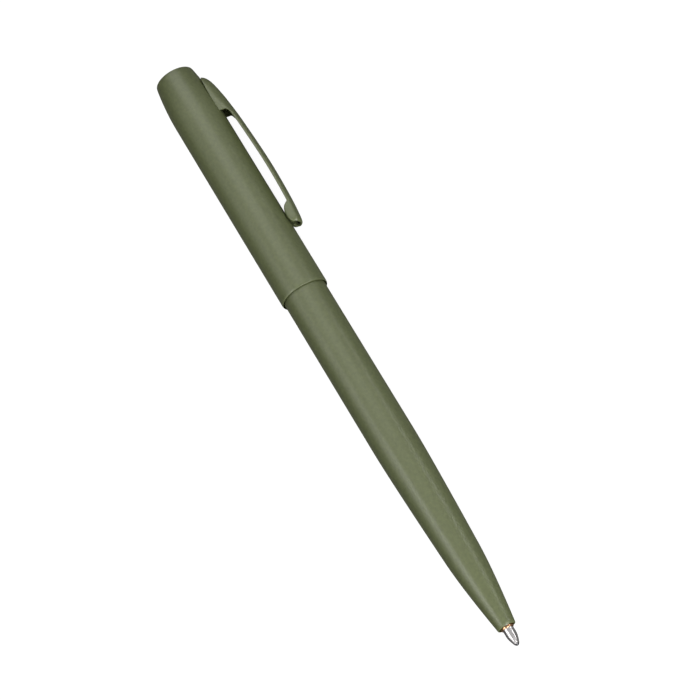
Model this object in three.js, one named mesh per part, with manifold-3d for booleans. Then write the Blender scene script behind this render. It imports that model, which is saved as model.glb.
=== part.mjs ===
// Retractable ballpoint pen. The cap slides on the barrel and clicks the cartridge out and in.
// Millimetres. X runs along the pen's axis from the closed end of the cap to the point, Z is up.
// The pen is shown with its point out, lying on a table, rolled over until its clip meets the table.
import * as THREE from "three";
import { mergeVertices } from "three/addons/utils/BufferGeometryUtils.js";
import Module from "manifold-3d";

const wasm = await Module();
wasm.setup();

// Clearances
const slideClearance = 0.07; // cap on barrel, to a side
const seatClearance = 0.05; // pressed and screwed pieces, to a side
const runClearance = 0.1; // moving pieces of the mechanism, to a side
const boreClearance = 0.135; // point in the bore of the nose, to a side
const stopGap = 0.3; // left at a stop when a travel ends
const reach = 1; // how far joined and cutting forms go into or past each other

// Click travel from the shown state: the cap retreats by one and can be pressed in by the other
const clickTravel = 5;
const overTravel = 1;

// Cap
const capLength = 53.7;
const capR = 4.85;
const capWall = 0.4;
const capEndWall = 0.6;
const capEndR = 3.9;
const capTaperLength = 10;
const capEndRound = 0.3;
const capRimRound = 0.13;

// Barrel
const capOverlap = 14.7;
const barrelWall = 0.45;
const barrelEndChamfer = 0.15;
const parallelLength = 48.5;
const gripTaperLength = 25.5;
const gripShoulder = 6.5;
const gripEndR = 3.55;
const noseLength = 15.9;
const noseShoulder = 5.56;
const noseFaceR = 1.72;
const noseFaceRound = 0.15;
const noseWall = 0.5;
const boreChamfer = 0.12;
const boreLength = 4.4;
const springSeatSetback = 7.9;
const springPocketR = 2.2;
const springPocketLength = 1.5;
const springSeatBoreR = 1.65;

// Clip: one pressed sheet with a hood, a strip, two folded lobes and a tongue through the cap's wall
const clipRoll = THREE.MathUtils.degToRad(26.4); // how far the clip lies below the horizontal
const clipSheet = 0.5;
const clipStart = 2.95;
const clipLength = 37.55;
const clipEndRound = 0.45;
const clipSeatGap = 0.1;
const hoodLength = 9;
const hoodHalfWidth = 2.25;
const hoodHeadHalfWidth = 1.2;
const hoodHeadLength = 3.5;
const hoodFootDepth = 0.65; // below the cap's wall, where the hood's arch ends
const hoodCutLean = 0.3; // of the hood's cut towards the nose
const hoodCutCurveLength = 1.6;
const hoodCutCurveRise = 0.66;
const stripHalfWidth = 2;
const stripRise = 0.7;
const stripDepth = 0.95;
const lobeHalfWidth = 1.95;
const lobeCentreSetback = 2.5;
const lobeCentreHeight = 1.99; // above the cap's wall
const lobeHalfLength = 2.35;
const lobeHalfDepth = 1.9;
const lobeFirstTurn = THREE.MathUtils.degToRad(194); // the part of the lobe's ellipse that shows
const lobeLastTurn = THREE.MathUtils.degToRad(347);
const leastRise = 0.15; // flattest that the arch may get
const tongueHalfWidth = 1.1;
const tongueLength = 4.4;
const tongueDepth = 1.4; // below the cap's wall
const slotClearance = 0.15;
// Height of the clip's crown above the cap's wall, at shares of its length
const crownHeights = [
  [0, -0.5],
  [0.012, 0.1],
  [0.061, 1.15],
  [0.17, 1.9],
  [0.345, 2.42],
  [0.61, 2.78],
  [0.822, 2.63],
  [0.95, 2.29],
  [1.005, 1.95],
];

// Click mechanism
const capBushLength = 8.7;
const capBushBoreDepth = 7.7;
const stemR = 1.45;
const guideFlange = 0.7;
const guideLength = 4.4;
const housingR = 3.85;
const housingWall = 0.4;
const housingCollarR = 4.3;
const housingCollarLength = 1;
const housingReach = 7; // how far it enters the barrel
const housingStep = 0.35; // shoulder that carries the sleeve's end
const sleeveLength = 15.6;
const toothCount = 8;
const toothHeight = 0.8;
const toothGap = 0.3;
const rampFoot = 0.1; // lowest height of the ramps above the sleeve's end
const toothSteps = 6; // facets to a tooth; a ramp climbs for all but one of them
const latchGap = 0.15; // left between the ramps and the rotor, drawn at the top of its stroke
const camBodyR = 2.25;
const shortRibR = 2.55;
const longRibR = 2.85;
const ribHalfWidth = 0.28;
const rotorRibLength = 3.4;
const spigotR = 1.2;
const spigotLength = 4;

// Cartridge
const pointReach = 3.9; // from the face of the nose to the tip
const ballR = 0.45;
const ballClearance = 0.03;
const ballLipReach = 0.1;
const pointR = 1.04;
const pointConeLength = 2.1;
const pointConeSwell = 0.12;
const pointShankR = 0.85;
const pointShankLength = 6;
const inkwayR = 0.35;
const feedLength = 1; // narrow end of the inkway behind the ball
const feedFlare = 0.5;
const tubeR = 2.9;
const tubeWall = 0.4;
const carrierShoulderSetback = 14; // from the spring's seat back to the carrier's shoulder
const carrierShoulderLength = 1;
const carrierSpigotLength = 5;
const neckR = 1.45;
const neckEndGap = 2; // from the neck's end to the spring's seat
const carrierBoreR = 0.6;
const plugFlange = 0.7;
const plugLength = 5;
const floatLength = 4;
const inkLength = 37;

// Spring of the cartridge
const wireR = 0.18;
const springR = 1.9;
const springCoils = 11;
const springEndGap = 0.1;

// Fineness
const ringSteps = toothCount * toothSteps;
const cartridgeSteps = 32;
const ballSteps = 16;
const curveSteps = 8;
const gentleSteps = 5;
const cornerSteps = 3;
const springStepsPerCoil = 8;
const wireSides = 5;

// Places along the axis that follow from the sizes above
const capBushEnd = capEndWall + capBushLength;
const guideStart = capBushEnd + overTravel + stopGap;
const housingStart = guideStart + guideFlange;
const guideEnd = guideStart + guideLength;
const sleeveEnd = guideEnd + sleeveLength;
const plungerShoulder = guideEnd + clickTravel + stopGap;
const rampStart = sleeveEnd + rampFoot;
const rotorCrown = rampStart + toothHeight + latchGap;
const plungerCrown = rotorCrown - toothHeight * (1 - 1 / (toothSteps - 1)) - toothGap;
const rotorRibEnd = rotorCrown + rotorRibLength;
const cartridgeStart = rampStart + toothHeight + clickTravel + stopGap;
const barrelStart = capLength - capOverlap;
const gripStart = barrelStart + parallelLength;
const gripEnd = gripStart + gripTaperLength;
const noseFace = gripEnd + noseLength;
const tip = noseFace + pointReach;
const ballCentre = tip - ballR;
const springSeat = noseFace - springSeatSetback;
const carrierShoulder = springSeat - carrierShoulderSetback;
const tubeStart = cartridgeStart + plugFlange;
const tubeEnd = carrierShoulder - carrierShoulderLength;
const inkEnd = tubeEnd - carrierSpigotLength;
const inkStart = inkEnd - inkLength;
const neckEnd = springSeat - neckEndGap;
const clipEnd = clipStart + clipLength;
const lobeCentre = clipEnd - lobeCentreSetback;

// Radii that follow from the sizes above
const capBoreR = capR - capWall;
const barrelR = capBoreR - slideClearance;
const barrelBoreR = barrelR - barrelWall;
const noseBoreR = pointR + boreClearance;
const housingBoreR = housingR - housingWall;
const housingThroatR = housingBoreR - housingStep;
const sleeveR = housingBoreR - seatClearance;
const tubeBoreR = tubeR - tubeWall;
const hoodFootR = capR - hoodFootDepth;
const lobeCentreR = capR + lobeCentreHeight;
const tongueR = capR - tongueDepth;

const at = (x, r) => new THREE.Vector2(x, r);

// Points along a round corner about (x, r), from one angle to another in degrees
function arc(x, r, radius, from, to) {
  return Array.from({ length: cornerSteps + 1 }, (_, step) => {
    const turn = THREE.MathUtils.degToRad(THREE.MathUtils.lerp(from, to, step / cornerSteps));
    return at(x + radius * Math.cos(turn), r + radius * Math.sin(turn));
  });
}

// A solid from a geometry whose shared corners are merged
function solid(geometry) {
  const bare = geometry.clone();
  bare.deleteAttribute("normal");
  bare.deleteAttribute("uv");
  const merged = mergeVertices(bare, 1e-5);
  const vertProperties = new Float32Array(merged.attributes.position.array);
  const triVerts = new Uint32Array(merged.index.array);
  return new wasm.Manifold(new wasm.Mesh({ numProp: 3, vertProperties, triVerts }));
}

// A geometry from a solid
function geometryOf(shape) {
  const { vertProperties, triVerts } = shape.getMesh();
  const geometry = new THREE.BufferGeometry();
  geometry.setAttribute("position", new THREE.BufferAttribute(new Float32Array(vertProperties), 3));
  geometry.setIndex(new THREE.BufferAttribute(new Uint32Array(triVerts), 1));
  return geometry;
}

// Turns an outline of (x, radius) points about the pen's axis
function turned(outline, steps = ringSteps) {
  const profile = outline.map((p) => at(p.y, p.x));
  const onAxis = profile[0].x < 1e-9;
  if (!onAxis) profile.push(profile[0].clone());
  if (THREE.ShapeUtils.area(profile) < 0) profile.reverse();
  return new THREE.LatheGeometry(profile, steps).rotateZ(-Math.PI / 2);
}

// A plain ring or tube between two places and two radii
const tube = (start, end, innerR, outerR, steps) =>
  turned([at(start, innerR), at(start, outerR), at(end, outerR), at(end, innerR)], steps);

// A plain rod
const rod = (start, end, r, steps) => turned([at(start, 0), at(start, r), at(end, r), at(end, 0)], steps);

// A plain rod whose corners lie between those of the turned pieces that it joins or cuts
const offsetRod = (start, end, r) => rod(start, end, r).rotateX(Math.PI / ringSteps);

// A box along the axis that stands out sideways in a direction turned about the axis
function bar(start, end, fromR, toR, halfWidth, turn) {
  const box = new THREE.BoxGeometry(end - start, toR - fromR, 2 * halfWidth);
  return box.translate((start + end) / 2, (fromR + toR) / 2, 0).rotateX(turn);
}

// Pushes the flat end of a turned piece at place x into teeth, one wave to a tooth
function cutTeeth(geometry, x, height, wave) {
  const position = geometry.attributes.position;
  for (let i = 0; i < position.count; i += 1) {
    if (Math.abs(position.getX(i) - x) > 1e-4) continue;
    const turn = Math.atan2(position.getZ(i), position.getY(i)) / (2 * Math.PI) + 1;
    position.setX(i, x + height * wave(Math.round(turn * ringSteps) % toothSteps));
  }
  return geometry;
}

// A point at each rib, and a ramp that climbs from one side of a rib to the steep step before the next
const pointedWave = (step) => Math.abs((2 * step) / toothSteps - 1);
const rampWave = (step) => ((step + 1) % toothSteps) / (toothSteps - 1);

// Directions of the ribs and grooves about the axis
const around = (count) => Array.from({ length: count }, (_, k) => (2 * Math.PI * k) / count);

const capOutline = () => {
  const taper = new THREE.QuadraticBezierCurve(
    at(0, capEndR),
    at(capTaperLength / 2, capR),
    at(capTaperLength, capR),
  );
  return taper.getPoints(curveSteps);
};

// The inside of the cap's taper, moved in by a wall, from a place near the closed end
function insideTaper(start, wall) {
  const radiusAt = (x) => capR - (capR - capEndR) * (1 - x / capTaperLength) ** 2 - wall;
  return Array.from({ length: gentleSteps + 1 }, (_, k) => {
    const x = THREE.MathUtils.lerp(start, capTaperLength, k / gentleSteps);
    return at(x, radiusAt(x));
  });
}

function capShell() {
  const outside = [
    at(0, 0),
    ...arc(capEndRound, capEndR - capEndRound, capEndRound, 180, 115),
    ...capOutline().slice(1),
    ...arc(capLength - capRimRound, capR - capRimRound, capRimRound, 90, 0),
  ];
  const inside = [at(capLength, capBoreR), ...insideTaper(capEndWall, capWall).reverse(), at(capEndWall, 0)];
  const slot = bar(
    clipStart - slotClearance,
    clipStart + clipSheet + slotClearance,
    tongueR,
    capR,
    tongueHalfWidth + slotClearance,
    -clipRoll,
  );
  return geometryOf(solid(turned([...outside, ...inside])).subtract(solid(slot)));
}

function capBush() {
  const taper = insideTaper(capEndWall, capWall + seatClearance).filter((p) => p.x < capBushEnd);
  const last = insideTaper(capBushEnd, capWall + seatClearance)[0];
  const boreR = stemR + seatClearance;
  const boreStart = capBushEnd - capBushBoreDepth;
  const plug = solid(
    turned([
      at(capEndWall, 0),
      ...taper,
      last,
      at(capBushEnd, boreR),
      at(boreStart, boreR),
      at(boreStart, 0),
    ]),
  );
  const recess = bar(
    clipStart - stopGap,
    clipStart + tongueLength + stopGap,
    tongueR - stopGap,
    capR,
    tongueHalfWidth + stopGap,
    -clipRoll,
  );
  return geometryOf(plug.subtract(solid(recess)));
}

function plunger() {
  const stemStart = capBushEnd - capBushBoreDepth;
  const stem = solid(offsetRod(stemStart, plungerShoulder + reach, stemR));
  const head = rod(plungerShoulder, plungerCrown, shortRibR);
  const crown = solid(cutTeeth(head, plungerCrown, toothHeight, pointedWave));
  const formEnd = plungerCrown + toothHeight + reach;
  let form = solid(offsetRod(plungerShoulder, formEnd, camBodyR));
  for (const turn of around(toothCount)) {
    form = form.add(solid(bar(plungerShoulder, formEnd, 0, longRibR, ribHalfWidth, turn)));
  }
  const spigotBore = offsetRod(rotorCrown - spigotLength - toothGap, formEnd, spigotR + runClearance);
  return geometryOf(crown.intersect(form).add(stem).subtract(solid(spigotBore)));
}

function guideBush() {
  const boreR = stemR + runClearance;
  return turned([
    at(guideStart, boreR),
    at(guideStart, housingR),
    at(housingStart, housingR),
    at(housingStart, sleeveR),
    at(guideEnd, sleeveR),
    at(guideEnd, boreR),
  ]);
}

function mechanismHousing() {
  const collarStart = barrelStart - housingCollarLength;
  const end = barrelStart + housingReach;
  return turned([
    at(housingStart, housingBoreR),
    at(housingStart, housingR),
    at(collarStart, housingR),
    at(collarStart, housingCollarR),
    at(barrelStart, housingCollarR),
    at(barrelStart, housingR),
    at(end, housingR),
    at(end, housingThroatR),
    at(sleeveEnd, housingThroatR),
    at(sleeveEnd, housingBoreR),
  ]);
}

function camSleeve() {
  const boreR = camBodyR + runClearance;
  const rampR = housingThroatR - runClearance;
  const ramps = cutTeeth(tube(sleeveEnd - reach, rampStart, boreR, rampR), rampStart, toothHeight, rampWave);
  let sleeve = solid(tube(guideEnd, sleeveEnd, boreR, sleeveR)).add(solid(ramps));
  around(toothCount).forEach((turn, k) => {
    const ribR = k % 2 ? shortRibR : longRibR;
    const end = rampStart + toothHeight + reach;
    const groove = bar(guideEnd - reach, end, 0, ribR + runClearance, ribHalfWidth + runClearance, turn);
    sleeve = sleeve.subtract(solid(groove));
  });
  return geometryOf(sleeve);
}

function camRotor() {
  const start = rotorCrown;
  const crown = solid(cutTeeth(rod(start, rotorRibEnd, longRibR), start, toothHeight, rampWave));
  let form = solid(offsetRod(start, rotorRibEnd, camBodyR));
  for (const turn of around(toothCount / 2)) {
    form = form.add(solid(bar(start, rotorRibEnd, 0, housingThroatR, ribHalfWidth, turn)));
  }
  const foot = solid(offsetRod(rotorRibEnd - reach, cartridgeStart, camBodyR));
  const spigot = solid(offsetRod(start - spigotLength, start + toothHeight + reach, spigotR));
  return geometryOf(crown.intersect(form).add(foot).add(spigot));
}

// Radius of the grip's taper and of the nose as two curves that meet with one slope
function barrelOutline() {
  const slope = (barrelR - gripEndR) / (gripTaperLength - gripShoulder);
  const grip = new THREE.QuadraticBezierCurve(
    at(gripStart, barrelR),
    at(gripStart + gripShoulder, barrelR),
    at(gripEnd, gripEndR),
  );
  const nose = new THREE.QuadraticBezierCurve(
    at(gripEnd, gripEndR),
    at(gripEnd + noseShoulder, gripEndR - slope * noseShoulder),
    at(noseFace - noseFaceRound, noseFaceR + noseFaceRound / 4),
  );
  return [...grip.getPoints(gentleSteps), ...nose.getPoints(curveSteps).slice(1)];
}

function barrel() {
  const pocketStart = springSeat - springPocketLength;
  const throat = new THREE.QuadraticBezierCurve(
    at(gripEnd, gripEndR - noseWall),
    at(gripEnd + noseShoulder / 2, gripEndR - noseWall),
    at(pocketStart, springPocketR),
  );
  const grip = new THREE.QuadraticBezierCurve(
    at(gripStart, barrelBoreR),
    at(gripStart + gripShoulder, barrelBoreR),
    at(gripEnd, gripEndR - noseWall),
  );
  return turned([
    at(barrelStart, barrelBoreR),
    at(barrelStart, barrelR - barrelEndChamfer),
    at(barrelStart + barrelEndChamfer, barrelR),
    ...barrelOutline(),
    ...arc(noseFace - noseFaceRound, noseFaceR - noseFaceRound, noseFaceRound, 60, 0),
    at(noseFace, noseBoreR + boreChamfer),
    at(noseFace - boreChamfer, noseBoreR),
    at(noseFace - boreLength, noseBoreR),
    at(springSeat, springSeatBoreR),
    at(springSeat, springPocketR),
    ...throat.getPoints(gentleSteps).reverse(),
    ...grip.getPoints(gentleSteps).slice(0, -1).reverse(),
  ]);
}

// Crown line of the clip, from the cap's wall over the hood and along the strip to its end
function clipCrown() {
  const points = crownHeights.map(([share, height]) => at(clipStart + share * clipLength, capR + height));
  return new THREE.SplineCurve(points).getPoints(4 * curveSteps);
}

// Half width and height of the clip's arch at a place
function clipArch(x, crownR) {
  const hoodEnd = clipStart + hoodLength;
  const head = Math.min(1, Math.max(0, (x - clipStart) / hoodHeadLength));
  const rounded = Math.sqrt(1 - (1 - head) ** 2);
  const hoodWidth = THREE.MathUtils.lerp(hoodHeadHalfWidth, hoodHalfWidth, rounded);
  const toStrip = THREE.MathUtils.smoothstep(x, hoodEnd - hoodLength / 2, hoodEnd + hoodLength / 3);
  const toLobe = THREE.MathUtils.smoothstep(x, hoodEnd, lobeCentre);
  const stripWidth = THREE.MathUtils.lerp(stripHalfWidth, lobeHalfWidth, toLobe);
  return {
    halfWidth: THREE.MathUtils.lerp(hoodWidth, stripWidth, toStrip),
    rise: THREE.MathUtils.lerp(Math.max(crownR - hoodFootR, leastRise), stripRise, toStrip),
  };
}

// One section of the clip's form: an elliptic arch on straight sides that reach down past the cap's wall
function archSection(x, crownR, halfWidth, rise, footR) {
  const points = [new THREE.Vector3(x, footR, halfWidth)];
  for (let k = 0; k <= curveSteps; k += 1) {
    const turn = (Math.PI * k) / curveSteps;
    points.push(new THREE.Vector3(x, crownR - rise + rise * Math.sin(turn), halfWidth * Math.cos(turn)));
  }
  points.push(new THREE.Vector3(x, footR, -halfWidth));
  return points;
}

// Skins a row of sections that have equal numbers of points and closes both ends with flat faces
function skin(sections) {
  const sides = sections[0].length;
  const positions = sections.flat().flatMap((p) => [p.x, p.y, p.z]);
  const index = [];
  for (let s = 0; s + 1 < sections.length; s += 1) {
    for (let k = 0; k < sides; k += 1) {
      const a = s * sides + k;
      const b = s * sides + ((k + 1) % sides);
      index.push(a, a + sides, b, b, a + sides, b + sides);
    }
  }
  const last = (sections.length - 1) * sides;
  for (let k = 1; k + 1 < sides; k += 1) {
    index.push(0, k, k + 1);
    index.push(last, last + k + 1, last + k);
  }
  const geometry = new THREE.BufferGeometry();
  geometry.setAttribute("position", new THREE.Float32BufferAttribute(positions, 3));
  geometry.setIndex(index);
  return geometry;
}

// The arch's outer or inner form. The inner one lies one sheet deeper, measured square to the crown line
function clipForm(depth) {
  const crown = clipCrown();
  const footR = tongueR - reach;
  const sections = crown.map((point, k) => {
    const before = crown[Math.max(k - 1, 0)];
    const after = crown[Math.min(k + 1, crown.length - 1)];
    const along = after.clone().sub(before).normalize();
    const place = at(point.x + depth * along.y, point.y - depth * along.x);
    const arch = clipArch(point.x, point.y);
    const rise = Math.max(arch.rise - depth, leastRise);
    return archSection(place.x, place.y, arch.halfWidth - depth, rise, footR);
  });
  if (depth > 0) {
    const open = sections[sections.length - 1].map((p) => p.clone().setX(clipEnd + reach));
    sections.push(open);
  }
  return solid(skin(sections));
}

// The clip seen from its side: hood wall, rounded cut, underside of the strip, lobe and rounded end
function clipSide() {
  const hoodEnd = clipStart + hoodLength;
  const crown = new THREE.SplineCurve(clipCrown());
  const betweenSections = 4 * curveSteps - 1;
  const underside = crown.getPoints(betweenSections).map((p) => at(p.x, p.y - stripDepth));
  const lobeAt = (turn) =>
    at(lobeCentre + lobeHalfLength * Math.cos(turn), lobeCentreR + lobeHalfDepth * Math.sin(turn));
  const cutEnd = hoodEnd + hoodCutLean;
  const underStart = cutEnd + hoodCutCurveLength;
  const under = underside.filter((p) => p.x > underStart && p.x < lobeAt(lobeFirstTurn).x);
  const side = new THREE.Shape();
  side.moveTo(clipStart - reach, tongueR - reach / 2);
  side.lineTo(hoodEnd, tongueR - reach / 2);
  side.lineTo(hoodEnd, hoodFootR);
  side.lineTo(cutEnd, under[0].y - hoodCutCurveRise);
  side.quadraticCurveTo(cutEnd + hoodCutLean / 2, under[0].y, under[0].x, under[0].y);
  under.slice(1).forEach((p) => side.lineTo(p.x, p.y));
  for (let k = 0; k <= 2 * curveSteps; k += 1) {
    const p = lobeAt(THREE.MathUtils.lerp(lobeFirstTurn, lobeLastTurn, k / (2 * curveSteps)));
    side.lineTo(p.x, p.y);
  }
  const endR = lobeCentreR + clipEndRound / 4;
  side.quadraticCurveTo(clipEnd, lobeAt(lobeLastTurn).y, clipEnd, endR - clipEndRound);
  side.quadraticCurveTo(clipEnd, endR, clipEnd - clipEndRound, endR + clipEndRound);
  side.lineTo(clipEnd - clipEndRound, capR + 2 * hoodHalfWidth);
  side.lineTo(clipStart - reach, capR + 2 * hoodHalfWidth);
  const depth = 4 * hoodHalfWidth;
  const plate = new THREE.ExtrudeGeometry(side, { depth, bevelEnabled: false, curveSegments: gentleSteps });
  return solid(plate.translate(0, 0, -depth / 2));
}

// The tongue goes down through the slot in the cap's wall and turns towards the nose under it
function clipTongue() {
  const inner = clipStart + clipSheet;
  const outline = new THREE.Shape([
    at(clipStart, tongueR),
    at(clipStart + tongueLength, tongueR),
    at(clipStart + tongueLength, tongueR + clipSheet - runClearance),
    at(inner, tongueR + clipSheet - runClearance),
    at(inner, hoodFootR + 2 * slotClearance + clipSheet / 2),
    at(clipStart + runClearance / 2, hoodFootR + slotClearance + clipSeatGap),
    at(clipStart, hoodFootR),
  ]);
  const plate = new THREE.ExtrudeGeometry(outline, { depth: 2 * tongueHalfWidth, bevelEnabled: false });
  return solid(plate.translate(0, 0, -tongueHalfWidth));
}

// The clip in its own frame, standing out along Y. Its group rolls it down to the table
function pocketClip() {
  const envelope = capOutline().map((p) => at(p.x, p.y + clipSeatGap));
  const end = [at(-reach, 0), at(-reach, capEndR)];
  const capForm = turned([...end, ...envelope, at(capLength, capR + clipSeatGap), at(capLength, 0)]);
  const sheet = clipForm(0).subtract(clipForm(clipSheet)).intersect(clipSide()).subtract(solid(capForm));
  return geometryOf(sheet.add(clipTongue()));
}

function refillTube() {
  return tube(tubeStart, tubeEnd, tubeBoreR, tubeR, cartridgeSteps);
}

function refillTailPlug() {
  const end = cartridgeStart + plugLength;
  const bodyR = tubeBoreR - seatClearance;
  const flange = [at(cartridgeStart, 0), at(cartridgeStart, tubeR), at(tubeStart, tubeR)];
  return turned([...flange, at(tubeStart, bodyR), at(end, bodyR), at(end, 0)], cartridgeSteps);
}

const inkFloat = () => rod(inkStart - floatLength, inkStart, tubeBoreR - runClearance, cartridgeSteps);

const inkColumn = () => rod(inkStart, inkEnd, tubeBoreR - runClearance, cartridgeSteps);

function refillCarrier() {
  const shankBoreR = pointShankR + seatClearance;
  const shankStart = neckEnd - pointShankLength;
  const outside = [
    at(inkEnd, carrierBoreR),
    at(inkEnd, tubeBoreR - seatClearance),
    at(tubeEnd, tubeBoreR - seatClearance),
    at(tubeEnd, tubeR),
    at(carrierShoulder, tubeR),
    at(carrierShoulder, neckR),
    at(neckEnd, neckR),
  ];
  const inside = [at(neckEnd, shankBoreR), at(shankStart, shankBoreR), at(shankStart, carrierBoreR)];
  return turned([...outside, ...inside], cartridgeSteps);
}

function refillPoint() {
  const shankStart = neckEnd - pointShankLength;
  const lip = ballCentre + ballLipReach;
  const socketR = ballR + ballClearance;
  const lipR = Math.sqrt(socketR ** 2 - ballLipReach ** 2);
  const backR = inkwayR / 2;
  const backTurn = Math.PI - Math.asin(backR / socketR);
  const lipTurn = Math.acos(ballLipReach / socketR);
  const socket = Array.from({ length: gentleSteps + 1 }, (_, k) => {
    const turn = THREE.MathUtils.lerp(lipTurn, backTurn, k / gentleSteps);
    return at(ballCentre + socketR * Math.cos(turn), socketR * Math.sin(turn));
  });
  const coneStart = tip - pointConeLength;
  const cone = new THREE.QuadraticBezierCurve(
    at(coneStart, pointR),
    at((coneStart + lip) / 2, (pointR + lipR) / 2 + pointConeSwell),
    at(lip, lipR + seatClearance),
  );
  const feedStart = socket[gentleSteps].x - feedLength;
  const shank = [at(shankStart, inkwayR), at(shankStart, pointShankR), at(neckEnd, pointShankR)];
  const outside = [...shank, at(neckEnd, pointR), ...cone.getPoints(curveSteps / 2)];
  const feed = [at(feedStart, backR), at(feedStart - feedFlare, inkwayR)];
  return turned([...outside, ...socket, ...feed], cartridgeSteps);
}

// The ball's poles lie across the pen, on the axis that it is shown rolling about
function writingBall() {
  const ball = new THREE.SphereGeometry(ballR, ballSteps, ballSteps / 2 + 2);
  return ball.translate(ballCentre, 0, 0);
}

// A round wire wound about the cartridge's neck as one unbroken tube
function refillSpring() {
  const start = carrierShoulder + springEndGap + wireR;
  const length = springSeat - springEndGap - wireR - start;
  const steps = springCoils * springStepsPerCoil;
  const pitch = length / springCoils;
  const climb = Math.atan2(pitch, 2 * Math.PI * springR);
  const rings = [];
  const centres = [];
  for (let s = 0; s <= steps; s += 1) {
    const turn = (2 * Math.PI * s) / springStepsPerCoil;
    const out = new THREE.Vector3(0, Math.cos(turn), Math.sin(turn));
    const along = new THREE.Vector3(Math.cos(climb), 0, 0).add(
      new THREE.Vector3(0, Math.sin(turn), -Math.cos(turn)).multiplyScalar(Math.sin(climb)),
    );
    const centre = out.clone().multiplyScalar(springR).setX(start + (length * s) / steps);
    centres.push(centre);
    rings.push(
      around(wireSides).map((side) =>
        centre
          .clone()
          .addScaledVector(out, wireR * Math.cos(side))
          .addScaledVector(along, wireR * Math.sin(side)),
      ),
    );
  }
  let leastGap = Infinity;
  rings.forEach((ring, a) => {
    rings.slice(a + springStepsPerCoil / 2).forEach((other) => {
      for (const p of ring) {
        for (const q of other) leastGap = Math.min(leastGap, p.distanceTo(q));
      }
    });
  });
  console.log(`refill_spring: least gap between its turns ${leastGap.toFixed(2)} mm`);
  return skin(rings);
}

// Finishes
const finish = (color, roughness, metalness) =>
  new THREE.MeshStandardMaterial({ color, roughness, metalness });
const oliveCoat = () => finish("#6f7857", 0.55, 0.1);
const brass = () => finish("#c9a35b", 0.35, 1);
const steel = () => finish("#c9cbcc", 0.25, 1);
const whiteAcetal = () => finish("#e8e6df", 0.5, 0);
const blackAcetal = () => finish("#1d1d1d", 0.5, 0);

const pen = new THREE.Group();

function addPiece(name, geometry, material, parent = pen) {
  const mesh = new THREE.Mesh(geometry, material);
  mesh.name = name;
  parent.add(mesh);
}

addPiece("cap_shell", capShell(), oliveCoat());
const clipGroup = new THREE.Group();
clipGroup.rotation.x = -clipRoll;
pen.add(clipGroup);
addPiece("pocket_clip", pocketClip(), oliveCoat(), clipGroup);
addPiece("cap_bush", capBush(), blackAcetal());
addPiece("plunger", plunger(), whiteAcetal());
addPiece("guide_bush", guideBush(), brass());
addPiece("mechanism_housing", mechanismHousing(), brass());
addPiece("cam_sleeve", camSleeve(), blackAcetal());
addPiece("cam_rotor", camRotor(), whiteAcetal());
addPiece("barrel", barrel(), oliveCoat());
addPiece("refill_tube", refillTube(), steel());
addPiece("refill_tail_plug", refillTailPlug(), brass());
addPiece("ink_float", inkFloat(), finish("#3a3a3a", 0.6, 0));
addPiece("ink_column", inkColumn(), finish("#0b0b10", 0.2, 0));
addPiece("refill_carrier", refillCarrier(), brass());
addPiece("refill_point", refillPoint(), steel());
addPiece("writing_ball", writingBall(), finish("#8f9294", 0.15, 1));
addPiece("refill_spring", refillSpring(), steel());

export default pen;
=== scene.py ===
"""A retractable ballpoint pen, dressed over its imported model, with its clip, coat, metals and studio."""

from math import asin, cos, hypot, pi, radians, sin, sqrt

import bmesh
import bpy
from bpy.props import FloatProperty, FloatVectorProperty, IntProperty, PointerProperty
from mathutils import Matrix, Vector


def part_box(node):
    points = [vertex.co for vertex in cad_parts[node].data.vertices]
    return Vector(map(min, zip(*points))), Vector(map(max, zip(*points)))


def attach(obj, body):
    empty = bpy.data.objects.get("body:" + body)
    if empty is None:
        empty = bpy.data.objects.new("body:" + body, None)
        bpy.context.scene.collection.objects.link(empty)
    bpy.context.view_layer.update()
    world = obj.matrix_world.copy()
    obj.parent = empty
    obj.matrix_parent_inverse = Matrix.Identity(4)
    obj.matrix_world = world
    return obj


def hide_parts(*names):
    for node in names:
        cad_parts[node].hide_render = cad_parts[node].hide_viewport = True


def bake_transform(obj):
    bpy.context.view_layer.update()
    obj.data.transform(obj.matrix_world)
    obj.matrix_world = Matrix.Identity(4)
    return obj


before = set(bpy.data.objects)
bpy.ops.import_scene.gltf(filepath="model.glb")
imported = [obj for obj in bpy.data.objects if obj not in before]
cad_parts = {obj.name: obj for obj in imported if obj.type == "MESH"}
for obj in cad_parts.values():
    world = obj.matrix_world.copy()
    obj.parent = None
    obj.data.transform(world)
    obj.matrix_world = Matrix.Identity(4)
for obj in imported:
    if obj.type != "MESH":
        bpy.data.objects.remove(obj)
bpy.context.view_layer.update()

bl_info = {
    "name": "Retractable Pen",
    "version": (1, 0, 0),
    "blender": (4, 5, 0),
    "location": "View3D > Sidebar > Pen",
    "description": "Makes a retractable pen over its packed model, and its studio",
    "category": "Object",
}

MM = 0.001
ALONG = Vector((1, 0, 0))
BODY_STEPS, POINT_STEPS = 144, 96  # faces round the cap and the barrel, and round the point
MERGE = 1e-8  # vertices closer to each other than this are one
ON_PLANE = 1e-9  # vertices closer to a cutting plane than this lie on it
TINY = 1e-12  # keeps a division by a length of nothing from failing


def mm(length):
    """A length in millimetres, in metres."""
    return length * MM


def hex_colour(code):
    """An sRGB colour written as six hex digits, as the linear colour that a shader takes."""
    shares = [int(code[k : k + 2], 16) / 255 for k in (0, 2, 4)]
    return [s / 12.92 if s <= 0.04045 else ((s + 0.055) / 1.055) ** 2.4 for s in shares] + [1.0]


CAP_LOW, CAP_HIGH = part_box("cap_shell")
BARREL_LOW, BARREL_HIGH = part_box("barrel")
POINT_LOW, POINT_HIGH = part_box("refill_point")
BALL_LOW, BALL_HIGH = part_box("writing_ball")
SPRING_LOW, SPRING_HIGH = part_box("refill_spring")


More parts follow.
